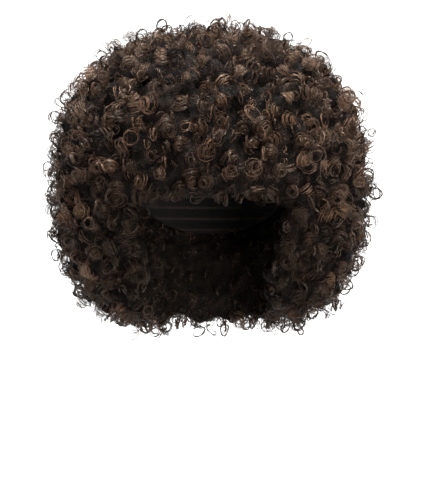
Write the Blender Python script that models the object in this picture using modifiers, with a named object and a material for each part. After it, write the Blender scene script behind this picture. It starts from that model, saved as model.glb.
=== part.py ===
"""Afro wig as it sits on a head: a stretch cap, and six sections of curly hair round it.

Metres, +Z up. The face looks out towards -Y. The origin is the inside of the cap's crown, where
the top of the head meets it. Each section of hair is a thick soft wall whose outer form is made
of fat curled locks, fused to a backing that follows the cap.
"""

import math

import bmesh
import bpy
from mathutils import Matrix, Vector

# The head that the wig fits
HEAD_WIDTH = 0.154
HEAD_LENGTH = 0.192
HEAD_DEPTH = 0.200
NECK_WIDTH = 0.122
NECK_LENGTH = 0.116
NECK_SETBACK = 0.016

# The stretch cap, whose edge lies in one plane that tilts from the forehead down to the nape
CAP_WALL = 0.0015
CAP_FRONT_DROP = 0.050
CAP_NAPE_DROP = 0.152
CLEARANCE = 0.0003

# The outer form of the hair, over its locks: a ball, round above and fuller below its widest level
HAIR_WIDTH = 0.346
HAIR_LENGTH = 0.320
HAIR_HEIGHT = 0.333
HAIR_OVER_CROWN = 0.077
HAIR_SETBACK = 0.016
WIDEST_SHARE = 0.49
PLAN_POWER = 2.15
UPPER_POWER = 2.35
LOWER_POWER = 3.2

# The opening for the face, and how far the hair beside the cheeks sweeps back below the fringe
FRINGE_DROP = 0.108
FACE_TOP_WIDTH = 0.166
FACE_FOOT_WIDTH = 0.130
FACE_CORNER = 0.022
CHEEK_SWEEP = 0.52

# The locks on it, each a tapering tube wound into a coil
LOCK_SPACING = 0.0350
EDGE_LOCK_SPACING = 0.0300
LOCK_TUBE = 0.0135
LOCK_COIL = 0.0110
LOCK_RISE = 0.0150
LOCK_TURNS = 1.4
LOCK_SINK = 0.0050
LOCK_TAPER = 0.45
LOCK_LEAN = math.radians(24)
LOCK_LEAN_RATE = 2.3
LOCK_SIZE_SPREAD = 0.12
LOCK_SIZE_RATE = 4.1
FRINGE_LOCK_AIM = (-1.6, -1.0)
CHEEK_LOCK_AIM = Vector((-0.35, -1.0, -0.2))

# The seams between the sections of hair
FRINGE_HALF_ANGLE = math.radians(46)
BACK_HALF_ANGLE = math.radians(54)
CROWN_HALF_ANGLE = math.radians(47)
FRINGE_SEAM_DROP = 0.121
NAPE_SEAM_DROP = 0.130

# How finely the shapes are meshed
HEAD_SEGMENTS = 28
HEAD_RINGS = 18
BACKING_SUBDIVISIONS = 5
FACE_CORNER_STEPS = 4
LOCK_SIDES = 8
LOCK_STEPS_PER_TURN = 10
FUSE_GRID = 0.0036
KEPT_SHARE = 0.077

# Worked out from the sizes above
LOCK_PROUD = LOCK_RISE + LOCK_TUBE / 2 - LOCK_SINK
FORM_TOP = HAIR_OVER_CROWN - LOCK_PROUD
FORM_FOOT = HAIR_OVER_CROWN - HAIR_HEIGHT + LOCK_PROUD
FORM_HALF_WIDTH = HAIR_WIDTH / 2 - LOCK_PROUD
FORM_HALF_LENGTH = HAIR_LENGTH / 2 - LOCK_PROUD
FORM_MIDDLE = Vector((0, HAIR_SETBACK, FORM_TOP - WIDEST_SHARE * (FORM_TOP - FORM_FOOT)))
HEAD_MIDDLE = Vector((0, 0, -HEAD_DEPTH / 2))
CUT_REACH = 3 * HAIR_WIDTH
GOLDEN_ANGLE = math.pi * (3 - math.sqrt(5))

HAIR_BROWN = (0.035, 0.024, 0.017, 1.0)
CAP_BROWN = (0.018, 0.014, 0.012, 1.0)


def clear_scene():
    for old in list(bpy.data.objects):
        bpy.data.objects.remove(old)


def new_collection(name):
    made = bpy.data.collections.new(name)
    bpy.context.scene.collection.children.link(made)
    return made


def material(name, colour, roughness):
    made = bpy.data.materials.new(name)
    made.use_nodes = True
    shader = made.node_tree.nodes["Principled BSDF"]
    shader.inputs["Base Color"].default_value = colour
    shader.inputs["Roughness"].default_value = roughness
    shader.inputs["Metallic"].default_value = 0.0
    made.diffuse_color = colour
    return made


def mesh_object(name, bm, collection):
    mesh = bpy.data.meshes.new(name)
    bm.to_mesh(mesh)
    bm.free()
    made = bpy.data.objects.new(name, mesh)
    collection.objects.link(made)
    return made


def evaluated_copy(source, name, collection):
    """A new object with the source's mesh as its modifiers leave it. The source is removed."""
    graph = bpy.context.evaluated_depsgraph_get()
    mesh = bpy.data.meshes.new_from_object(source.evaluated_get(graph))
    made = bpy.data.objects.new(name, mesh)
    collection.objects.link(made)
    bpy.data.objects.remove(source)
    return made


def smooth_step(share):
    share = min(1.0, max(0.0, share))
    return share * share * (3 - 2 * share)


# The head and the cap


def add_head_form(bm, grow):
    """The head as one rounded form, grown outwards by grow all over."""
    size = Matrix.Diagonal((HEAD_WIDTH / 2 + grow, HEAD_LENGTH / 2 + grow, HEAD_DEPTH / 2 + grow, 1))
    return bmesh.ops.create_uvsphere(
        bm,
        u_segments=HEAD_SEGMENTS,
        v_segments=HEAD_RINGS,
        radius=1.0,
        matrix=Matrix.Translation(HEAD_MIDDLE) @ size,
    )


def cap_edge_plane():
    """A point of the plane that the cap's edge lies in, and its normal, which points up and forward."""
    front = Vector((0, -HEAD_LENGTH / 2, -CAP_FRONT_DROP))
    nape = Vector((0, HEAD_LENGTH / 2, -CAP_NAPE_DROP))
    along = (nape - front).normalized()
    return front, Vector((1, 0, 0)).cross(along)


def make_cap(collection):
    bm = bmesh.new()
    add_head_form(bm, 0.0)
    point, normal = cap_edge_plane()
    bmesh.ops.bisect_plane(
        bm,
        geom=bm.verts[:] + bm.edges[:] + bm.faces[:],
        plane_co=point,
        plane_no=normal,
        clear_inner=True,
    )
    bmesh.ops.recalc_face_normals(bm, faces=bm.faces)
    cap = mesh_object("wig_cap", bm, collection)
    wall = cap.modifiers.new("wall", "SOLIDIFY")
    wall.thickness = CAP_WALL
    wall.offset = 1.0
    cap.data.materials.append(material("cap_net", CAP_BROWN, 0.85))
    return cap


# The outer form of the hair


def cheek_share(z):
    """How much of its forward reach the hair keeps at the height z, from 1 at the fringe's edge down."""
    drop = (-FRINGE_DROP - z) / (-FRINGE_DROP - FORM_FOOT)
    return 1 - CHEEK_SWEEP * smooth_step(drop)


def form_point(direction):
    """The point and the outward normal of the hair's outer form in a direction from its middle."""
    upper = direction.z > 0
    power = UPPER_POWER if upper else LOWER_POWER
    half_height = FORM_TOP - FORM_MIDDLE.z if upper else FORM_MIDDLE.z - FORM_FOOT
    halves = (FORM_HALF_WIDTH, FORM_HALF_LENGTH, half_height)
    shares = [abs(direction[i]) / halves[i] for i in range(3)]
    plan = (shares[0] ** PLAN_POWER + shares[1] ** PLAN_POWER) ** (1 / PLAN_POWER)
    reach = (plan**power + shares[2] ** power) ** (-1 / power)
    plan_slope = plan ** (power - PLAN_POWER) if plan > 0 else 0
    slopes = (
        plan_slope * shares[0] ** (PLAN_POWER - 1),
        plan_slope * shares[1] ** (PLAN_POWER - 1),
        shares[2] ** (power - 1),
    )
    normal = Vector(math.copysign(slopes[i] / halves[i], direction[i]) for i in range(3))
    place = FORM_MIDDLE + direction * reach
    if place.y < 0:
        place.y *= cheek_share(place.z)
    return place, normal.normalized()


def face_half_width(z):
    """Half the width of the face's opening at the height z, which narrows from the fringe to the foot."""
    drop = (-FRINGE_DROP - z) / (-FRINGE_DROP - FORM_FOOT)
    return (FACE_TOP_WIDTH + drop * (FACE_FOOT_WIDTH - FACE_TOP_WIDTH)) / 2


def make_backing(collection):
    """The hair's outer form under its locks, with no hollow yet."""
    bm = bmesh.new()
    bmesh.ops.create_icosphere(bm, subdivisions=BACKING_SUBDIVISIONS, radius=1.0)
    for vertex in bm.verts:
        vertex.co = form_point(vertex.co.normalized())[0]
    return mesh_object("backing", bm, collection)


def make_face_cutter(collection):
    """The space in front of the face, from under the fringe to below the hair's foot."""
    top, foot = -FRINGE_DROP, FORM_FOOT - 2 * LOCK_PROUD
    middle = Vector((0, -CUT_REACH / 2, (top + foot) / 2))
    bm = bmesh.new()
    bmesh.ops.create_cube(
        bm,
        size=1.0,
        matrix=Matrix.Translation(middle) @ Matrix.Diagonal((1, CUT_REACH, top - foot, 1)),
    )
    for vertex in bm.verts:
        vertex.co.x *= 2 * face_half_width(vertex.co.z)
    corners = [
        edge
        for edge in bm.edges
        if all(v.co.z > middle.z for v in edge.verts) and edge.verts[0].co.x * edge.verts[1].co.x > 0
    ]
    bmesh.ops.bevel(
        bm,
        geom=corners,
        offset=FACE_CORNER,
        segments=FACE_CORNER_STEPS,
        profile=0.5,
        affect="EDGES",
        material=-1,
    )
    return mesh_object("face_space", bm, collection)


# The locks


def make_lock():
    """One fat curl standing on its axis at the origin: a tube wound about +Z, narrower at its tip."""
    bm = bmesh.new()
    ring = bmesh.ops.create_circle(bm, cap_ends=True, radius=LOCK_TUBE / 2, segments=LOCK_SIDES)
    upright = Matrix.Translation((LOCK_COIL, 0, 0)) @ Matrix.Rotation(math.pi / 2, 4, "X")
    bmesh.ops.transform(bm, matrix=upright, verts=ring["verts"])
    steps = round(LOCK_TURNS * LOCK_STEPS_PER_TURN)
    bmesh.ops.spin(
        bm,
        geom=bm.verts[:] + bm.edges[:] + bm.faces[:],
        cent=(0, 0, 0),
        axis=(0, 0, 1),
        dvec=(0, 0, LOCK_RISE / steps),
        angle=LOCK_TURNS * 2 * math.pi,
        steps=steps,
    )
    for vertex in bm.verts:
        narrowing = 1 - LOCK_TAPER * vertex.co.z / LOCK_RISE
        vertex.co.x *= narrowing
        vertex.co.y *= narrowing
    bmesh.ops.recalc_face_normals(bm, faces=bm.faces)
    lock = bpy.data.meshes.new("lock")
    bm.to_mesh(lock)
    bm.free()
    return lock


def lock_matrix(point, outward, turn, lean, size):
    """Stands a lock on the form: its axis along outward, leaning by lean, turned by turn about it."""
    tilt = Matrix.Rotation(turn, 4, "Z") @ Matrix.Rotation(lean, 4, "X")
    stand = outward.to_track_quat("Z", "Y").to_matrix().to_4x4()
    return Matrix.Translation(point - outward * LOCK_SINK) @ stand @ tilt @ Matrix.Scale(size, 4)


def over_the_face(point):
    """Whether a point of the outer form lies where the face's opening leaves no hair."""
    return point.y < 0 and point.z < -FRINGE_DROP and abs(point.x) < face_half_width(point.z)


def ball_lock_places():
    """Even places over the whole outer form, on a spiral from the crown to the foot."""
    half_height = (FORM_TOP - FORM_FOOT) / 2
    area = 4 * math.pi * (FORM_HALF_WIDTH * FORM_HALF_LENGTH * half_height) ** (2 / 3)
    count = round(area / LOCK_SPACING**2)
    for i in range(count):
        z = 1 - (2 * i + 1) / count
        around = i * GOLDEN_ANGLE
        across = math.sqrt(1 - z * z)
        point, normal = form_point(Vector((across * math.cos(around), across * math.sin(around), z)))
        if not over_the_face(point):
            yield point, normal


def edge_lock_places():
    """A row along the fringe's edge, and a column down each side of the face."""
    front = -FORM_HALF_LENGTH
    set_in = Vector((0, LOCK_COIL, 0))
    count = round(FACE_TOP_WIDTH / EDGE_LOCK_SPACING)
    for i in range(count + 1):
        x = FACE_TOP_WIDTH * (i / count - 0.5)
        above_edge = Vector((x, front, LOCK_COIL - FRINGE_DROP - FORM_MIDDLE.z))
        outward = Vector((x / FACE_TOP_WIDTH, *FRINGE_LOCK_AIM)).normalized()
        yield form_point(above_edge)[0] + set_in, outward
    fall = -FRINGE_DROP - FORM_FOOT
    count = round(fall / EDGE_LOCK_SPACING)
    for side in (-1, 1):
        for i in range(1, count):
            z = -FRINGE_DROP - fall * i / count
            beside = Vector((side * (face_half_width(z) + LOCK_COIL), front, z - FORM_MIDDLE.z))
            outward = Vector((side * CHEEK_LOCK_AIM.x, CHEEK_LOCK_AIM.y, CHEEK_LOCK_AIM.z))
            yield form_point(beside)[0] + set_in, outward.normalized()


def add_locks(bm):
    lock = make_lock()
    for i, (point, outward) in enumerate([*ball_lock_places(), *edge_lock_places()]):
        lean = LOCK_LEAN * math.sin(LOCK_LEAN_RATE * i)
        size = 1 + LOCK_SIZE_SPREAD * math.sin(LOCK_SIZE_RATE * i)
        placed = lock.copy()
        placed.transform(lock_matrix(point, outward, i * GOLDEN_ANGLE, lean, size))
        bm.from_mesh(placed)
        bpy.data.meshes.remove(placed)
    bpy.data.meshes.remove(lock)


def make_fleece(helpers):
    """Backing and locks fused into one soft body, with no hollow yet."""
    backing = make_backing(helpers)
    cut(backing, make_face_cutter(helpers), "DIFFERENCE")
    backing = evaluated_copy(backing, "backing", helpers)
    bm = bmesh.new()
    bm.from_mesh(backing.data)
    bpy.data.objects.remove(backing)
    add_locks(bm)
    fleece = mesh_object("fleece", bm, helpers)
    fuse = fleece.modifiers.new("fuse", "REMESH")
    fuse.mode = "VOXEL"
    fuse.voxel_size = FUSE_GRID
    thin = fleece.modifiers.new("thin", "DECIMATE")
    thin.ratio = KEPT_SHARE
    return evaluated_copy(fleece, "fleece", helpers)


# The hollow, and the seams between the sections


def cut(target, cutter, operation):
    cutter.display_type = "WIRE"
    cutter.hide_render = True
    step = target.modifiers.new(cutter.name, "BOOLEAN")
    step.operation = operation
    step.object = cutter
    step.solver = "EXACT"


def make_head_cutter(collection):
    bm = bmesh.new()
    add_head_form(bm, CAP_WALL + CLEARANCE)
    return mesh_object("head_space", bm, collection)


def make_neck_cutter(collection):
    depth = CUT_REACH
    bm = bmesh.new()
    bmesh.ops.create_cone(
        bm,
        cap_ends=True,
        segments=HEAD_SEGMENTS,
        radius1=0.5,
        radius2=0.5,
        depth=depth,
        matrix=Matrix.Translation((0, NECK_SETBACK, HEAD_MIDDLE.z - depth / 2))
        @ Matrix.Diagonal((NECK_WIDTH, NECK_LENGTH, 1, 1)),
    )
    return mesh_object("neck_space", bm, collection)


def make_crown_cone(collection, outset):
    """The cone over the head's middle that bounds the crown's section, with its side moved out by outset."""
    depth = CUT_REACH
    bm = bmesh.new()
    bmesh.ops.create_cone(
        bm,
        cap_ends=True,
        segments=HEAD_SEGMENTS,
        radius1=0.0,
        radius2=depth * math.tan(CROWN_HALF_ANGLE),
        depth=depth,
        matrix=Matrix.Translation(
            (0, 0, HEAD_MIDDLE.z + depth / 2 - outset / math.sin(CROWN_HALF_ANGLE))
        ),
    )
    bmesh.ops.remove_doubles(bm, verts=bm.verts, dist=1e-6)
    return mesh_object("crown_cone", bm, collection)


def make_wedge(collection, middle_angle, half_angle, low, high, inset):
    """An upright wedge about the head's axis, between two heights, with its sides moved in by inset."""
    towards = Vector((math.cos(middle_angle), math.sin(middle_angle), 0))
    tip = towards * (inset / math.sin(half_angle))
    corners = [tip]
    for i in range(3):
        angle = middle_angle + (i - 1) * half_angle
        corners.append(tip + CUT_REACH * Vector((math.cos(angle), math.sin(angle), 0)))
    bm = bmesh.new()
    base = bm.faces.new([bm.verts.new(corner + Vector((0, 0, low))) for corner in corners])
    raised = bmesh.ops.extrude_face_region(bm, geom=[base])["geom"]
    upper = [v for v in raised if isinstance(v, bmesh.types.BMVert)]
    bmesh.ops.translate(bm, vec=(0, 0, high - low), verts=upper)
    bmesh.ops.recalc_face_normals(bm, faces=bm.faces)
    return mesh_object("wedge", bm, collection)


def keep_largest_body(mesh):
    """Drops the crumbs that a seam cuts off the tips of locks."""
    bm = bmesh.new()
    bm.from_mesh(mesh)
    unsorted = set(bm.faces)
    bodies = []
    while unsorted:
        body, reached = set(), [unsorted.pop()]
        while reached:
            face = reached.pop()
            body.add(face)
            near = {other for edge in face.edges for other in edge.link_faces} & unsorted
            unsorted -= near
            reached.extend(near)
        bodies.append(body)
    crumbs = sorted(bodies, key=len)[:-1]
    bmesh.ops.delete(bm, geom=[face for body in crumbs for face in body], context="FACES")
    bm.to_mesh(mesh)
    bm.free()


def make_section(name, fleece, cuts, hair, collection):
    """One section of the hair: the fleece, cut in turn by each (cutter, operation)."""
    piece = bpy.data.objects.new(name, fleece.data.copy())
    collection.objects.link(piece)
    for cutter, operation in cuts:
        cut(piece, cutter, operation)
    piece = evaluated_copy(piece, name, collection)
    keep_largest_body(piece.data)
    piece.name = name
    piece.data.materials.clear()
    piece.data.materials.append(hair)


def make_sections(fleece, helpers, wig):
    """The six sections of the hair, with the clearance between them at each seam."""
    hair = material("hair", HAIR_BROWN, 0.6)
    half_gap = CLEARANCE / 2
    low, high = FORM_FOOT - CUT_REACH, HAIR_OVER_CROWN + CUT_REACH
    fringe_seam, nape_seam = -FRINGE_SEAM_DROP, -NAPE_SEAM_DROP
    front, back = math.radians(-90), math.radians(90)
    side_half_angle = (math.pi - BACK_HALF_ANGLE) / 2
    left, right = front + side_half_angle, front - side_half_angle

    fringe_space = make_wedge(helpers, front, FRINGE_HALF_ANGLE, fringe_seam + half_gap, high, half_gap)
    round_fringe = make_wedge(helpers, front, FRINGE_HALF_ANGLE, fringe_seam - half_gap, high, -half_gap)
    right_space = make_wedge(helpers, right, side_half_angle, low, high, half_gap)
    left_space = make_wedge(helpers, left, side_half_angle, low, high, half_gap)
    back_space = make_wedge(helpers, back, BACK_HALF_ANGLE, nape_seam + half_gap, high, half_gap)
    nape_space = make_wedge(helpers, back, BACK_HALF_ANGLE, low, nape_seam - half_gap, half_gap)
    inside_crown = (make_crown_cone(helpers, -half_gap), "INTERSECT")
    outside_crown = (make_crown_cone(helpers, half_gap), "DIFFERENCE")
    outside_fringe = (round_fringe, "DIFFERENCE")

    sections = {
        "crown_hair": [inside_crown],
        "fringe_hair": [(fringe_space, "INTERSECT"), outside_crown],
        "left_side_hair": [(left_space, "INTERSECT"), outside_crown, outside_fringe],
        "right_side_hair": [(right_space, "INTERSECT"), outside_crown, outside_fringe],
        "back_hair": [(back_space, "INTERSECT"), outside_crown],
        "nape_hair": [(nape_space, "INTERSECT"), outside_crown],
    }
    for name, cuts in sections.items():
        make_section(name, fleece, cuts, hair, wig)


def main():
    clear_scene()
    wig = new_collection("afro_wig")
    helpers = new_collection("cutters")
    make_cap(wig)
    fleece = make_fleece(helpers)
    cut(fleece, make_head_cutter(helpers), "DIFFERENCE")
    cut(fleece, make_neck_cutter(helpers), "DIFFERENCE")
    fleece = evaluated_copy(fleece, "fleece", helpers)
    fleece.hide_render = True
    make_sections(fleece, helpers, wig)


main()
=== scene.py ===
"""The looks of the afro wig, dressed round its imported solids.

Metres, +Z up, the face towards -Y. Each section of hair is a dark crumpled core, which keeps the
form of its solid, under corkscrew ringlets of curled strands, with loose coils between them and
flyaways standing out of them. The stretch cap keeps its solid and gets a finish of net.
"""

import math

import bmesh
import bpy
import numpy as np
from mathutils import Matrix, Vector, noise
from mathutils.bvhtree import BVHTree
from mathutils.kdtree import KDTree


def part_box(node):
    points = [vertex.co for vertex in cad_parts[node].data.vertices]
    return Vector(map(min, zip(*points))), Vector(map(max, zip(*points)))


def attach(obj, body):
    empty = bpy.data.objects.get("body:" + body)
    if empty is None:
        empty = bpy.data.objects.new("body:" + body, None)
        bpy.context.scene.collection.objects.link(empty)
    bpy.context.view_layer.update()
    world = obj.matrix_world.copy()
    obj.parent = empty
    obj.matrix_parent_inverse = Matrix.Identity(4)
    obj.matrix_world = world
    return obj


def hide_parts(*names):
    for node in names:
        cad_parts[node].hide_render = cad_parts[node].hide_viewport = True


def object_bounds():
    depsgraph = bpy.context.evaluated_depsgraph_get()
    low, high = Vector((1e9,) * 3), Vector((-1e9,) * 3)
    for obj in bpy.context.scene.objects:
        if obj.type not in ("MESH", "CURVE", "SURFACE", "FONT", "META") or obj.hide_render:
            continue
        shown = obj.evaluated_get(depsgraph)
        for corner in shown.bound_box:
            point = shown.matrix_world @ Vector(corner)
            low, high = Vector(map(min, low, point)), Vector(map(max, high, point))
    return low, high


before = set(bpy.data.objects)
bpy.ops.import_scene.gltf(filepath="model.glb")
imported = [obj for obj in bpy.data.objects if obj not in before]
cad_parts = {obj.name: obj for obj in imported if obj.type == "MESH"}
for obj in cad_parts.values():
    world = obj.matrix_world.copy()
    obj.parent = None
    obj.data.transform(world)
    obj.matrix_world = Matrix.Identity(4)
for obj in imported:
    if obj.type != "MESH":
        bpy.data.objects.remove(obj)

SEED = 11
MM = 0.001
SECTIONS = ("crown", "fringe", "left_side", "right_side", "back", "nape")
HAIR_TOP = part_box("crown_hair")[1][2]
HAIR_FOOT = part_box("nape_hair")[0][2]
UP = Vector((0, 0, 1))

# The room that the hair may fill: the solids' own box and a little more for loose curls
PROUD = 9.5 * MM
ROOM = (
    [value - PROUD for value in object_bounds()[0]],
    [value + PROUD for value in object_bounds()[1]],
)

# The cores: how they are evened out, how deep and wide their creases are, and how far a crease wanders
CORE_WELD = 0.01 * MM
CORE_VOXEL = 5.0 * MM
CORE_SMOOTHING = 5
CORE_CREASE = 4.0 * MM
CORE_CREASE_SCALE = 8.0 * MM
CORE_CREASE_SPREAD = 2.2
CORE_CREASE_WANDER = 24.0 * MM
SEAM_OVERLAP = 2.5 * MM

# How the open surface is told from the seams and from the side against the cap
SEAM_REACH = 9.0 * MM
SEAM_START = 3.5 * MM
OPEN_START = 2.5 * MM
OPEN_REACH = 14.0 * MM

# How wide about a spot its normal is evened out, over the faces whose own normals keep more than
# CALM_TURN of their length along it
CALM_REACH = 10.0 * MM
CALM_TURN = -0.2

# The walls round the face and the neck: below FRINGE_LEVEL, they face the line up through
# NECK_MIDDLE. How far their curls are drawn in, which fades out towards the hem, how much
# smaller they are there, and how dark painted shade makes them, as the head would shade them.
FRINGE_LEVEL = -0.100
NECK_MIDDLE = Vector((0, 0.016, -0.200))
INNER_FACING = 0.45
INNER_RECESS = 9.0 * MM
HEM_HEIGHT = 40.0 * MM
INNER_SIZE = 0.8
INNER_PAINTED_SHADE = 0.35

# The opening for the face, which narrows from its top to its foot. Curls stop within FACE_FRAY of it,
# and beside it painted shade darkens them more and more from the outer of the two sideways distances below in
# to the inner, as the fringe and the head would shade them.
FACE_TOP = -0.117
FACE_FOOT = -0.225
FACE_TOP_HALF = 0.077
FACE_FOOT_HALF = 0.056
FACE_BACK = -0.030
FACE_FRAY = 5.0 * MM
FACE_SIDE_PAINTED_SHADE = (0.088, 0.122)

# A strand's sides, how far apart the strands of a curl start, in radians, and how fast they waver
STRAND_SIDES = 3
CURL_START = 0.3
WAVER_RATES = (5, 15)

# Every kind of curl, in millimetres and degrees. A range is drawn from for each curl, and a spread
# for each strand in it. steps is the points a turn, hem the share of the spacing kept at the hem,
# level how far a curl turns its loops to the side, and depth how far its root lies under the surface.
CURL_KINDS = {
    "ringlets": {
        "shapes": 20, "strands": (7, 8), "radius": (7.4, 10.0), "turns": (2.0, 2.8), "rise": (7.0, 14.0),
        "taper": (0.5, 0.74), "thickness": (0.32, 0.6), "radius_spread": 2.0, "lift_spread": 2.6,
        "turn_spread": 0.3, "wobble": 0.5, "steps": 8,
        "spacing": 18.6, "hem": 1.0, "lean": (0, 68), "level": 0.8, "droop": (0.1, 0.4),
        "depth": (-1.0, 4.5), "size": (0.85, 1.2), "tone": (0.0, 1.0),
    },
    "coils": {
        "shapes": 16, "strands": (3, 3), "radius": (5.0, 9.0), "turns": (1.0, 1.6), "rise": (3.0, 11.0),
        "taper": (0.1, 0.5), "thickness": (0.34, 0.66), "radius_spread": 1.8, "lift_spread": 2.2,
        "turn_spread": 0.25, "wobble": 0.7, "steps": 8,
        "spacing": 15.4, "hem": 0.65, "lean": (25, 88), "level": 1.0, "droop": (0.1, 0.4),
        "depth": (-5.5, 2.5), "size": (0.75, 1.2), "tone": (0.0, 0.9),
    },
    "flyaways": {
        "shapes": 24, "strands": (1, 4), "radius": (5.4, 7.4), "turns": (0.8, 1.35), "rise": (2.0, 6.0),
        "taper": (0.0, 0.4), "thickness": (0.75, 1.4), "radius_spread": 0.8, "lift_spread": 0.6,
        "turn_spread": 0.15, "wobble": 1.0, "steps": 11,
        "spacing": 20.0, "hem": 0.6, "lean": (65, 90), "level": 2.5, "droop": (0.0, 0.1),
        "depth": (-10.0, -5.0), "size": (0.85, 1.2), "tone": (0.0, 0.45),
    },
}

# The browns, from the darkest to the lightest, and how a curl may turn greyer or redder
STRAND_BROWNS = ((0, (0.0022, 0.0013, 0.0008)), (0.5, (0.018, 0.0103, 0.0066)), (1, (0.125, 0.076, 0.050)))
CORE_BROWNS = ((0, (0.0010, 0.0007, 0.0005)), (0.5, (0.0055, 0.0034, 0.0024)), (1, (0.035, 0.022, 0.0155)))
NET_BROWNS = ((0, (0.0010, 0.0009, 0.0008)), (0.4, (0.003, 0.0025, 0.0022)), (1, (0.010, 0.0065, 0.0048)))
GREY_TINT = (0.96, 1.0, 1.02)
RED_TINT = (1.10, 0.96, 0.87)

# How much of a strand's tone is its own, with the rest its curl's
STRAND_SHARE = 0.5

# The flow map lays every strand out flat for its streaks: how far it sets two strands apart, how far
# the three sides of one, and how long it lays one out
FLOW_APART = 40
FLOW_SIDES = 1.3
FLOW_LENGTH = 9

# The patterns of the finishes, finer with a higher scale, and how far the whorls of a core are bent
STRAND_PATCH_SCALE = 18.0
CORE_PATCH_SCALE = 45.0
CORE_WHORL_SCALE = 85.0
CORE_WHORL_RINGS = 44.0
CORE_BEND_SCALE = 60.0
CORE_BEND = 8.0 * MM
NET_MESH_SCALE = 520.0
NET_THREAD = 0.16
NET_ROW_SCALE = 520.0
NET_ROW_EDGE = 0.75

# How much the finishes shine
STRAND_SHINE = 0.17
STRAND_SHINE_TINT = (1.0, 0.76, 0.58, 1.0)
CORE_SHINE = 0.03
NET_SHINE = 0.1

# The room of white round it
STAGE_FLOOR = -2.6
STAGE_RADIUS = 4.5
STAGE_WALL = 5.4
STAGE_BEND = 1.2
STAGE_BEND_STEPS = 12
STAGE_SIDES = 72
STAGE_WHITE = 0.72
STAGE_ROUGHNESS = 0.9

# The lamps: each one's place, what it is aimed at, its size and its watts
HAIR_MIDDLE = (0, 0, -0.09)
LAMPS = {
    "key": ((-0.1, -1.4, 2.2), HAIR_MIDDLE, 0.6, 190),
    "fill": ((1.0, -2.2, -0.6), HAIR_MIDDLE, 1.0, 125),
    "top": ((0.1, -0.1, 2.2), HAIR_MIDDLE, 0.7, 265),
    "left_backdrop": ((-2.6, 1.6, 1.4), (-0.8, 4.5, 0.2), 1.5, 32),
    "right_backdrop": ((2.6, 1.6, 1.4), (0.8, 4.5, 0.2), 1.5, 32),
}
SKY_STRENGTH = 0.22

# The camera, at the photo's distance and height
CAMERA_DISTANCE = 2.0
CAMERA_HEIGHT = -0.164
VIEW_HEIGHT = 0.525
SENSOR = 36.0


# Materials


class Signal:
    """One socket in a material's nodes. An expression on signals adds the Math nodes that it needs."""

    def __init__(self, tree, socket=None):
        self.tree = tree
        self.socket = socket

    def node(self, kind, settings=None, inputs=None, output=0):
        """Adds one node: its settings first, then the values or signals of its inputs."""
        made = self.tree.nodes.new("ShaderNode" + kind)
        for name, value in (settings or {}).items():
            if name == "stops":
                set_stops(made.color_ramp, value)
            else:
                setattr(made, name, value)
        for name, value in (inputs or {}).items():
            self.feed(made.inputs[name], value)
        return Signal(self.tree, made.outputs[output])

    def feed(self, socket, value):
        if isinstance(value, Signal):
            self.tree.links.new(value.socket, socket)
        else:
            socket.default_value = value

    def maths(self, operation, *values):
        return self.node("Math", {"operation": operation}, dict(enumerate(values)))

    def __add__(self, other):
        return self.maths("ADD", self, other)

    def __sub__(self, other):
        return self.maths("SUBTRACT", self, other)

    def __rsub__(self, other):
        return self.maths("SUBTRACT", other, self)

    def __mul__(self, other):
        return self.maths("MULTIPLY", self, other)

    __radd__ = __add__
    __rmul__ = __mul__


def set_stops(ramp, stops):
    while len(ramp.elements) < len(stops):
        ramp.elements.new(1.0)
    for element, (place, colour) in zip(ramp.elements, stops):
        element.position = place
        element.color = (*colour, 1.0)


def new_material(name):
    """A material, its Principled shader, and a signal to start its expressions from."""
    made = bpy.data.materials.new(name)
    made.use_nodes = True
    return made, made.node_tree.nodes["Principled BSDF"], Signal(made.node_tree)


def attribute(sheet, name):
    return sheet.node("Attribute", {"attribute_name": name}, output="Fac")


def bumped(sheet, height, strength, distance):
    inputs = {"Strength": strength, "Distance": distance, "Height": height}
    return sheet.node("Bump", inputs=inputs, output="Normal")


def mixed(sheet, factor, first, second, blend="MIX"):
    """Two colours in one. The Mix node's sockets for colours go by number, because they share names."""
    settings = {"data_type": "RGBA", "blend_type": blend}
    return sheet.node("Mix", settings, {0: factor, 6: first, 7: second}, 2)


def tinted(sheet, colour, tint):
    return mixed(sheet, 1.0, colour, (*tint, 1.0), "MULTIPLY")


def strand_material():
    """Curled strands: dark brown, greyer or redder from one curl to the next, and streaked along, darkened by
    painted shade on the inner walls, beside the face and towards each root.
    """
    made, shader, sheet = new_material("curled_strands")
    # tone holds the random tone of each curl and strand, scaled down by painted shade on the inner walls and
    # beside the face.
    tone = attribute(sheet, "tone")
    warmth = attribute(sheet, "warmth")
    along = attribute(sheet, "along")
    place = sheet.node("TexCoord", output="Object")
    patches = sheet.node("TexNoise", inputs={"Vector": place, "Scale": STRAND_PATCH_SCALE, "Detail": 2.0})
    flow = sheet.node("UVMap", {"uv_map": "flow"})
    streaks = sheet.node("TexNoise", inputs={"Vector": flow, "Scale": 1.0, "Detail": 3.0})
    # along * 0.1 is painted shade: each strand is darker towards its root, which lies deep in the hair.
    level = tone * 0.85 + along * 0.1 + patches * 0.4 + streaks * 0.5 - 0.43
    brown = sheet.node("ValToRGB", {"stops": STRAND_BROWNS}, {"Fac": level})
    colour = mixed(sheet, warmth, tinted(sheet, brown, GREY_TINT), tinted(sheet, brown, RED_TINT))
    sheet.feed(shader.inputs["Base Color"], colour)
    sheet.feed(shader.inputs["Roughness"], streaks * 0.2 + 0.22)
    sheet.feed(shader.inputs["Normal"], bumped(sheet, streaks, 0.35, 0.3 * MM))
    shader.inputs["Specular IOR Level"].default_value = STRAND_SHINE
    shader.inputs["Specular Tint"].default_value = STRAND_SHINE_TINT
    return made


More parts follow.
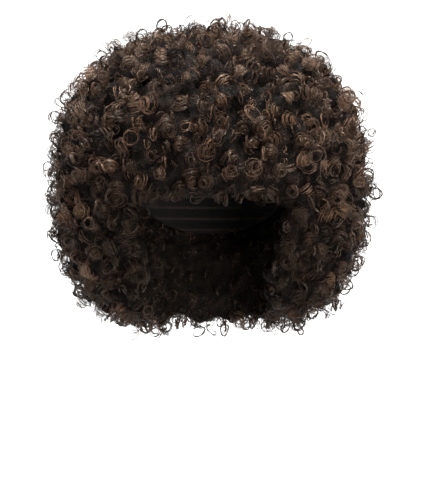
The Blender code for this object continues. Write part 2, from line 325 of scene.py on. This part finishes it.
def core_material():
    """The mass under the ringlets: painted shade makes it near black in its creases, with small whorls of
    brown strands.
    """
    made, shader, sheet = new_material("hair_core")
    place = sheet.node("TexCoord", output="Object")
    waves = {"Vector": place, "Scale": CORE_BEND_SCALE, "Detail": 2.0}
    bend = sheet.node("TexNoise", inputs=waves, output="Color")
    shift = {0: bend, 1: (CORE_BEND, CORE_BEND, CORE_BEND), 2: place}
    bent = sheet.node("VectorMath", {"operation": "MULTIPLY_ADD"}, shift)
    cells = {"Vector": bent, "Scale": CORE_WHORL_SCALE}
    whorls = sheet.node("TexVoronoi", {"feature": "F1"}, cells, "Distance")
    strands = sheet.maths("SINE", whorls * CORE_WHORL_RINGS) * 0.5 + 0.5
    patches = sheet.node("TexNoise", inputs={"Vector": place, "Scale": CORE_PATCH_SCALE, "Detail": 3.0})
    ridge = attribute(sheet, "ridge")
    # Painted shade: the level is lower down in the creases and higher on the ridges between them, so the
    # creases are coloured near black.
    level = ridge * 0.5 + strands * 0.45 + patches * 0.7 - 0.6
    colour = sheet.node("ValToRGB", {"stops": CORE_BROWNS}, {"Fac": level})
    sheet.feed(shader.inputs["Base Color"], colour)
    sheet.feed(shader.inputs["Roughness"], 0.75 - strands * 0.2)
    sheet.feed(shader.inputs["Normal"], bumped(sheet, strands, 0.9, 1.0 * MM))
    shader.inputs["Specular IOR Level"].default_value = CORE_SHINE
    return made


def net_material():
    """Dark stretch net, crossed by the sewn rows that carry the hair."""
    made, shader, sheet = new_material("cap_net")
    place = sheet.node("TexCoord", output="Object")
    height_up = sheet.node("SeparateXYZ", inputs={0: place}, output="Z")
    rows = sheet.maths("GREATER_THAN", sheet.maths("SINE", height_up * NET_ROW_SCALE), NET_ROW_EDGE)
    cells = {"Vector": place, "Scale": NET_MESH_SCALE}
    edge = sheet.node("TexVoronoi", {"feature": "DISTANCE_TO_EDGE"}, cells, "Distance")
    holes = sheet.maths("GREATER_THAN", edge, NET_THREAD)
    relief = rows + (1 - holes) * 0.4
    colour = sheet.node("ValToRGB", {"stops": NET_BROWNS}, {"Fac": relief * 0.7})
    sheet.feed(shader.inputs["Base Color"], colour)
    sheet.feed(shader.inputs["Roughness"], 0.9 - rows * 0.2)
    sheet.feed(shader.inputs["Normal"], bumped(sheet, relief, 0.7, 0.7 * MM))
    shader.inputs["Specular IOR Level"].default_value = NET_SHINE
    return made


def stage_material():
    made, shader, _ = new_material("sweep_white")
    shader.inputs["Base Color"].default_value = (STAGE_WHITE, STAGE_WHITE, STAGE_WHITE, 1.0)
    shader.inputs["Roughness"].default_value = STAGE_ROUGHNESS
    return made


# Cores


def mesh_lists(mesh):
    """A mesh's points and faces, as the tree that rays are cast at takes them."""
    return [v.co.copy() for v in mesh.vertices], [tuple(p.vertices) for p in mesh.polygons]


def apply_modifiers(piece):
    """Turns a piece's modifiers into its mesh."""
    graph = bpy.context.evaluated_depsgraph_get()
    mesh = bpy.data.meshes.new_from_object(piece.evaluated_get(graph))
    piece.modifiers.clear()
    piece.data = mesh


def crease_depth(point):
    """How deep the crumpling of a core is at a point, from 0 at the crest of a fold to 1 in a crease."""
    wander = noise.noise_vector(point / CORE_CREASE_WANDER)
    return min(1.0, abs(noise.noise(point / CORE_CREASE_SCALE + wander)) * CORE_CREASE_SPREAD)


def make_core(section, finish):
    """The core of one section: its solid, evened out and in its place."""
    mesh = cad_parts[section + "_hair"].data.copy()
    bm = bmesh.new()
    bm.from_mesh(mesh)
    bmesh.ops.remove_doubles(bm, verts=bm.verts, dist=CORE_WELD)
    bm.to_mesh(mesh)
    bm.free()
    core = bpy.data.objects.new(section + "_core", mesh)
    bpy.context.scene.collection.objects.link(core)
    grid = core.modifiers.new("grid", "REMESH")
    grid.mode = "VOXEL"
    grid.voxel_size = CORE_VOXEL
    calm = core.modifiers.new("calm", "SMOOTH")
    calm.iterations = CORE_SMOOTHING
    apply_modifiers(core)
    core.data.materials.clear()
    core.data.materials.append(finish)
    core.data.name = core.name
    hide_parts(section + "_hair")
    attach(core, "root")
    return core


def close_seams(cores):
    """Moves the faces that meet another core a little into it, so that no slot shows between them."""
    trees = {name: BVHTree.FromPolygons(*mesh_lists(core.data)) for name, core in cores.items()}
    for name, core in cores.items():
        others = [tree for other, tree in trees.items() if other != name]
        moves = []
        for vertex in core.data.vertices:
            start = vertex.co - vertex.normal * SEAM_START
            meets = any(tree.ray_cast(start, vertex.normal, SEAM_REACH)[0] for tree in others)
            moves.append(vertex.normal * SEAM_OVERLAP if meets else Vector())
        for vertex, move in zip(core.data.vertices, moves):
            vertex.co += move


def crumple(core):
    """Sinks creases into a core, between ridges that lie where curls would, and keeps for each point how far
    out of a crease it lies, for the painted shade that darkens the creases.
    """
    ridge = core.data.attributes.new("ridge", "FLOAT", "POINT")
    normals = [vertex.normal.copy() for vertex in core.data.vertices]
    for vertex, normal in zip(core.data.vertices, normals):
        depth = crease_depth(vertex.co)
        vertex.co -= normal * (CORE_CREASE * depth)
        # Stored for the painted shade of the core: 1 at the top of a fold, 0 deep in a crease.
        ridge.data[vertex.index].value = 1 - depth
    core.data.shade_smooth()


# Curls


def spun_strand(radius, rise, turns, start, lift, thickness, steps):
    """The mesh of one strand wound about +Z, from the height lift up."""
    bm = bmesh.new()
    ring = bmesh.ops.create_circle(bm, cap_ends=True, radius=thickness / 2, segments=STRAND_SIDES)
    stand = (
        Matrix.Rotation(start, 4, "Z")
        @ Matrix.Translation((radius, 0, lift))
        @ Matrix.Rotation(math.pi / 2, 4, "X")
    )
    bmesh.ops.transform(bm, matrix=stand, verts=ring["verts"])
    bmesh.ops.spin(
        bm,
        geom=bm.verts[:] + bm.edges[:] + bm.faces[:],
        cent=(0, 0, 0),
        axis=(0, 0, 1),
        dvec=(0, 0, rise / steps),
        angle=turns * 2 * math.pi,
        steps=steps,
    )
    bmesh.ops.recalc_face_normals(bm, faces=bm.faces)
    mesh = bpy.data.meshes.new("strand")
    bm.to_mesh(mesh)
    bm.free()
    return mesh


class Curl:
    """The arrays of one curl: its points and faces, and for each point how far along which strand."""

    def __init__(self):
        self.points = np.empty((0, 3))
        self.corners = np.empty(0, dtype=np.int32)
        self.sizes = np.empty(0, dtype=np.int32)
        self.along = np.empty(0)
        self.strand = np.empty(0)

    def add(self, mesh, taper, wobble, rng):
        """Takes in a spun strand, narrowed to its tip and made a little uneven."""
        points = np.empty(len(mesh.vertices) * 3)
        mesh.vertices.foreach_get("co", points)
        points = points.reshape(-1, 3)
        corners = np.empty(len(mesh.loops), dtype=np.int32)
        mesh.loops.foreach_get("vertex_index", corners)
        sizes = np.empty(len(mesh.polygons), dtype=np.int32)
        mesh.polygons.foreach_get("loop_total", sizes)
        bpy.data.meshes.remove(mesh)
        along = np.repeat(np.linspace(0, 1, len(points) // STRAND_SIDES), STRAND_SIDES)
        points[:, :2] *= (1 - taper * along)[:, None]
        rates, phases = rng.uniform(*WAVER_RATES, 3), rng.uniform(0, 2 * math.pi, 3)
        points += wobble * np.sin(rates * along[:, None] + phases)
        self.corners = np.concatenate([self.corners, corners + len(self.points)])
        self.points = np.concatenate([self.points, points])
        self.sizes = np.concatenate([self.sizes, sizes])
        self.along = np.concatenate([self.along, along])
        self.strand = np.concatenate([self.strand, np.full(len(points), rng.uniform())])


def make_curl(kind, rng):
    """One curl of a kind: a few strands that wind together, wide at the root and narrow at the tip."""
    curl = Curl()
    hand = rng.choice((-1, 1))
    radius, turns, rise, taper = (rng.uniform(*kind[name]) for name in ("radius", "turns", "rise", "taper"))
    for _ in range(int(rng.integers(kind["strands"][0], kind["strands"][1] + 1))):
        turned = turns + kind["turn_spread"] * rng.uniform(-1, 1)
        mesh = spun_strand(
            radius=(radius + kind["radius_spread"] * rng.uniform(-1, 1)) * MM,
            rise=rise * MM,
            turns=hand * turned,
            start=rng.uniform(-CURL_START, CURL_START),
            lift=kind["lift_spread"] * rng.uniform(-1, 1) * MM,
            thickness=rng.uniform(*kind["thickness"]) * MM,
            steps=round(turned * kind["steps"]),
        )
        curl.add(mesh, taper, kind["wobble"] * MM, rng)
    return curl


def join_curls(name, curls, places, finish, rng):
    """One mesh of many curls. Each place is (which curl, its matrix, its own tone, the painted shade there).
    """
    points, corners, sizes, along, strand, tone, warmth = [], [], [], [], [], [], []
    count = 0
    for which, matrix, own_tone, light in places:
        curl = curls[which]
        turned = np.array(matrix.to_3x3())
        points.append(curl.points @ turned.T + np.array(matrix.translation))
        corners.append(curl.corners + count)
        sizes.append(curl.sizes)
        along.append(curl.along)
        strand.append(curl.strand)
        # The tone attribute is the random tone of the strand and the curl, scaled down by the painted shade
        # of the place.
        tone.append((STRAND_SHARE * curl.strand + (1 - STRAND_SHARE) * own_tone) * light)
        warmth.append(np.full(len(curl.points), rng.uniform()))
        count += len(curl.points)
    points, corners, sizes = np.concatenate(points), np.concatenate(corners), np.concatenate(sizes)
    mesh = bpy.data.meshes.new(name)
    mesh.vertices.add(len(points))
    mesh.vertices.foreach_set("co", points.ravel())
    mesh.loops.add(len(corners))
    mesh.loops.foreach_set("vertex_index", corners)
    mesh.polygons.add(len(sizes))
    mesh.polygons.foreach_set("loop_start", np.concatenate([[0], np.cumsum(sizes)[:-1]]).astype(np.int32))
    mesh.update(calc_edges=True)
    for label, values in (("tone", tone), ("warmth", warmth), ("along", along)):
        mesh.attributes.new(label, "FLOAT", "POINT").data.foreach_set("value", np.concatenate(values))
    along, strand = np.concatenate(along), np.concatenate(strand)
    across = strand[corners] * FLOW_APART + (corners % STRAND_SIDES) * FLOW_SIDES
    flow = np.stack([across, along[corners] * FLOW_LENGTH], axis=1)
    mesh.uv_layers.new(name="flow").data.foreach_set("uv", flow.ravel())
    mesh.materials.append(finish)
    mesh.shade_smooth()
    piece = bpy.data.objects.new(name, mesh)
    bpy.context.scene.collection.objects.link(piece)
    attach(piece, "root")


# Where the curls stand


class Surface:
    """The open surface of all the cores: places on it, with a calm normal at each."""

    def __init__(self, cores):
        self.trees = {name: BVHTree.FromPolygons(*mesh_lists(core.data)) for name, core in cores.items()}
        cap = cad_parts["wig_cap"]
        self.trees["cap"] = BVHTree.FromPolygons(*mesh_lists(cap.data))
        self.spots = [
            (name, face.center.copy(), face.normal.copy())
            for name, core in cores.items()
            for face in core.data.polygons
        ]
        self.near = KDTree(len(self.spots))
        for i, (_, point, _) in enumerate(self.spots):
            self.near.insert(point, i)
        self.near.balance()

    def calm_normal(self, i):
        """The mean normal about a spot, which the lumps under it don't turn."""
        _, point, normal = self.spots[i]
        total = Vector()
        for _, j, _ in self.near.find_range(point, CALM_REACH):
            other = self.spots[j][2]
            if other.dot(normal) > CALM_TURN:
                total += other
        return total.normalized()

    def is_open(self, name, point, normal):
        """Whether a spot is clear of the other cores, and of everything a little further out."""
        for other, tree in self.trees.items():
            if other != name and tree.ray_cast(point - normal * SEAM_START, normal, SEAM_REACH)[0]:
                return False
        return not any(
            tree.ray_cast(point + normal * OPEN_START, normal, OPEN_REACH)[0] for tree in self.trees.values()
        )

    def places(self, rng, spacing, hem_spacing):
        """Spots in a random order, each at least spacing, or at the hem hem_spacing, from those before it."""
        chosen = np.empty((0, 3))
        for i in rng.permutation(len(self.spots)):
            name, point, normal = self.spots[i]
            here = np.array(point)
            apart = hem_spacing if point.z < HAIR_FOOT + HEM_HEIGHT / 2 else spacing
            if len(chosen) and np.min(np.sum((chosen - here) ** 2, axis=1)) < apart**2:
                continue
            calm = self.calm_normal(i)
            if calm.length and self.is_open(name, point, normal):
                chosen = np.vstack([chosen, here])
                yield name, point, calm


def on_inner_wall(point, normal):
    """Whether a spot is on a wall that faces the head, the neck or the face."""
    towards = Vector((-point.x, NECK_MIDDLE.y - point.y, 0)).normalized()
    return point.z < FRINGE_LEVEL and normal.dot(towards) > INNER_FACING


def painted_shade_at(point, normal):
    """How light painted shade leaves the curls on a spot: darker on the inner walls and beside the face, as
    the head and the fringe would shade them.
    """
    # Painted shade on the walls that face the head, the neck or the face.
    if on_inner_wall(point, normal):
        return INNER_PAINTED_SHADE
    if point.z > FRINGE_LEVEL or point.y > FACE_BACK:
        return 1.0
    # Painted shade beside the face opening, fading out away from it.
    return float(np.interp(abs(point.x), FACE_SIDE_PAINTED_SHADE, (INNER_PAINTED_SHADE, 1.0)))


def standing(point, normal, kind, rng):
    """The matrix of a curl that stands on a point. It leans a random way, and sags more lower down."""
    fall = (HAIR_TOP - point.z) / (HAIR_TOP - HAIR_FOOT)
    droop = kind["droop"][0] + fall * (kind["droop"][1] - kind["droop"][0])
    level = UP.cross(normal) * kind["level"] * rng.choice((-1, 1))
    side = Matrix.Rotation(rng.uniform(0, 2 * math.pi), 3, normal) @ normal.orthogonal().normalized()
    side = (side + level).normalized()
    tilt = math.radians(kind["lean"][0] + (kind["lean"][1] - kind["lean"][0]) * math.sqrt(rng.uniform()))
    axis = normal * math.cos(tilt) + side * math.sin(tilt) - UP * droop
    depth, size = rng.uniform(*kind["depth"]) * MM, rng.uniform(*kind["size"])
    if on_inner_wall(point, normal):
        depth += INNER_RECESS * min(1, (point.z - HAIR_FOOT) / HEM_HEIGHT)
        size *= INNER_SIZE
    turn = Matrix.Rotation(rng.uniform(0, 2 * math.pi), 4, "Z")
    stand = axis.to_track_quat("Z", "Y").to_matrix().to_4x4()
    return Matrix.Translation(point - normal * depth) @ stand @ turn @ Matrix.Scale(size, 4)


def kept_in_room(curl, matrix, rng):
    """A curl's matrix, moved back where the curl would leave the hair's room or cover the face."""
    points = curl.points @ np.array(matrix.to_3x3()).T + np.array(matrix.translation)
    x, y, z = points.T
    fray = rng.uniform(-FACE_FRAY, FACE_FRAY)
    top = FACE_TOP - fray
    half = np.interp(z, (FACE_FOOT, FACE_TOP), (FACE_FOOT_HALF, FACE_TOP_HALF)) - fray
    covers = (z < top) & (y < FACE_BACK) & (np.abs(x) < half)
    if covers.any():
        aside = (half - np.abs(x))[covers].max()
        raised = (top - z)[covers].max()
        if aside < raised:
            points[:, 0] += math.copysign(aside, matrix.translation.x)
            matrix = Matrix.Translation((math.copysign(aside, matrix.translation.x), 0, 0)) @ matrix
        else:
            points[:, 2] += raised
            matrix = Matrix.Translation((0, 0, raised)) @ matrix
    low, high = np.array(ROOM[0]) - points.min(axis=0), np.array(ROOM[1]) - points.max(axis=0)
    return Matrix.Translation(np.maximum(low, 0) + np.minimum(high, 0)) @ matrix


def grow(label, surface, finish, rng):
    """Curls of one kind all over the open surface, in one piece for each section."""
    kind = CURL_KINDS[label]
    curls = [make_curl(kind, rng) for _ in range(kind["shapes"])]
    placed = {section: [] for section in SECTIONS}
    spacing = kind["spacing"] * MM
    for section, point, normal in surface.places(rng, spacing, spacing * kind["hem"]):
        which = int(rng.integers(len(curls)))
        matrix = kept_in_room(curls[which], standing(point, normal, kind, rng), rng)
        placed[section].append((which, matrix, rng.uniform(*kind["tone"]), painted_shade_at(point, normal)))
    for section, places in placed.items():
        join_curls(f"{section}_{label}", curls, places, finish, rng)


# Stage, light and camera


def make_stage():
    """A round white floor that sweeps up into a wall all round."""
    bm = bmesh.new()
    profile = [bm.verts.new((0, 0, STAGE_FLOOR))]
    for i in range(STAGE_BEND_STEPS + 1):
        angle = i / STAGE_BEND_STEPS * math.pi / 2
        across = STAGE_RADIUS - STAGE_BEND * (1 - math.sin(angle))
        profile.append(bm.verts.new((across, 0, STAGE_FLOOR + STAGE_BEND * (1 - math.cos(angle)))))
    profile.append(bm.verts.new((STAGE_RADIUS, 0, STAGE_FLOOR + STAGE_WALL)))
    edges = [bm.edges.new(pair) for pair in zip(profile, profile[1:])]
    bmesh.ops.spin(
        bm,
        geom=profile + edges,
        cent=(0, 0, 0),
        axis=UP,
        angle=2 * math.pi,
        steps=STAGE_SIDES,
        use_merge=True,
    )
    bmesh.ops.remove_doubles(bm, verts=bm.verts, dist=MM)
    bmesh.ops.recalc_face_normals(bm, faces=bm.faces)
    mesh = bpy.data.meshes.new("sweep")
    bm.to_mesh(mesh)
    bm.free()
    mesh.shade_smooth()
    mesh.materials.append(stage_material())
    sweep = bpy.data.objects.new(mesh.name, mesh)
    bpy.context.scene.collection.objects.link(sweep)


def add_light(name, place, aim, size, power):
    lamp = bpy.data.lights.new(name, "AREA")
    lamp.energy = power
    lamp.size = size
    made = bpy.data.objects.new(name, lamp)
    made.location = place
    made.rotation_euler = (Vector(aim) - Vector(place)).to_track_quat("-Z", "Y").to_euler()
    bpy.context.scene.collection.objects.link(made)


def make_lights():
    for name, lamp in LAMPS.items():
        add_light(name, *lamp)
    world = bpy.data.worlds.new("white")
    world.use_nodes = True
    world.node_tree.nodes["Background"].inputs["Color"].default_value = (1, 1, 1, 1)
    world.node_tree.nodes["Background"].inputs["Strength"].default_value = SKY_STRENGTH
    bpy.context.scene.world = world
    bpy.context.scene.view_settings.view_transform = "Standard"


def make_camera():
    lens = bpy.data.cameras.new("camera")
    lens.sensor_fit = "VERTICAL"
    lens.sensor_height = SENSOR
    lens.lens = SENSOR * CAMERA_DISTANCE / VIEW_HEIGHT
    camera = bpy.data.objects.new("camera", lens)
    camera.location = (0, -CAMERA_DISTANCE, CAMERA_HEIGHT)
    camera.rotation_euler = (math.pi / 2, 0, 0)
    bpy.context.scene.collection.objects.link(camera)
    bpy.context.scene.camera = camera


def main():
    rng = np.random.default_rng(SEED)
    noise.seed_set(SEED)
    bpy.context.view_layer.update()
    make_camera()
    make_lights()
    make_stage()

    dark = core_material()
    cores = {section: make_core(section, dark) for section in SECTIONS}
    surface = Surface(cores)
    close_seams(cores)
    for core in cores.values():
        crumple(core)

    strands = strand_material()
    for label in CURL_KINDS:
        grow(label, surface, strands, rng)

    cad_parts["wig_cap"].data.materials.clear()
    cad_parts["wig_cap"].data.materials.append(net_material())


main()
